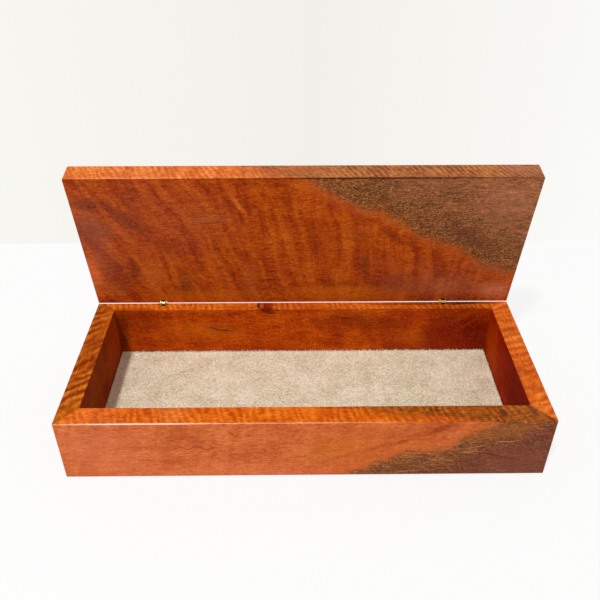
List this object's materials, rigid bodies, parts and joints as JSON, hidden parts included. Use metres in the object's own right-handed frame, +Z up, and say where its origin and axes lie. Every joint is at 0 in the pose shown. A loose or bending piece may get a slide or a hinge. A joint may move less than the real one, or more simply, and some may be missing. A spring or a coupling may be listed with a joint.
{
  "type": "hinged timber box",
  "caption": "Low rectangular timber box with mitred walls, a one-board lid on concealed brass barrel hinges and a suede-lined inside.",
  "frame": {"origin": "middle of the flat underside, on the surface that the box stands on", "axes": "+X along the length of the box towards its right-hand end, +Y from the front to the hinged back, +Z up. The lid is drawn standing open by 80 degrees, at joint value 0."},
  "size_m": [0.3, 0.1291, 0.1643],
  "materials": {
    "front_timber": "oiled, satin",
    "back_timber": "oiled, satin",
    "left_timber": "oiled, satin",
    "right_timber": "oiled, satin",
    "lid_timber": "oiled, satin",
    "base_plywood": "plain sanded",
    "suede": "napped suede",
    "brass": "polished",
    "pin_steel": "drawn"
  },
  "bodies": {
    "box": {"front_wall": "front_timber", "back_wall": "back_timber", "left_wall": "left_timber", "right_wall": "right_timber", "bottom_panel": "base_plywood", "suede_lining": "suede", "left_box_barrel": "brass", "left_end_leaf": "brass", "left_middle_leaf": "brass", "left_pivot_pin": "pin_steel", "left_box_cross_pin": "pin_steel", "right_box_barrel": "brass", "right_end_leaf": "brass", "right_middle_leaf": "brass", "right_pivot_pin": "pin_steel", "right_box_cross_pin": "pin_steel"},
    "lid": {"lid_board": "lid_timber", "left_lid_barrel": "brass", "left_lid_leaf": "brass", "left_lid_cross_pin": "pin_steel", "right_lid_barrel": "brass", "right_lid_leaf": "brass", "right_lid_cross_pin": "pin_steel"}
  },
  "joints": [
    {"name": "lid_hinge", "type": "hinge", "parent": "box", "child": "lid", "pos_m": [0, 0.0549, 0.04908], "axis": [-1, 0, 0], "range_deg": [-80, 12]}
  ]
}
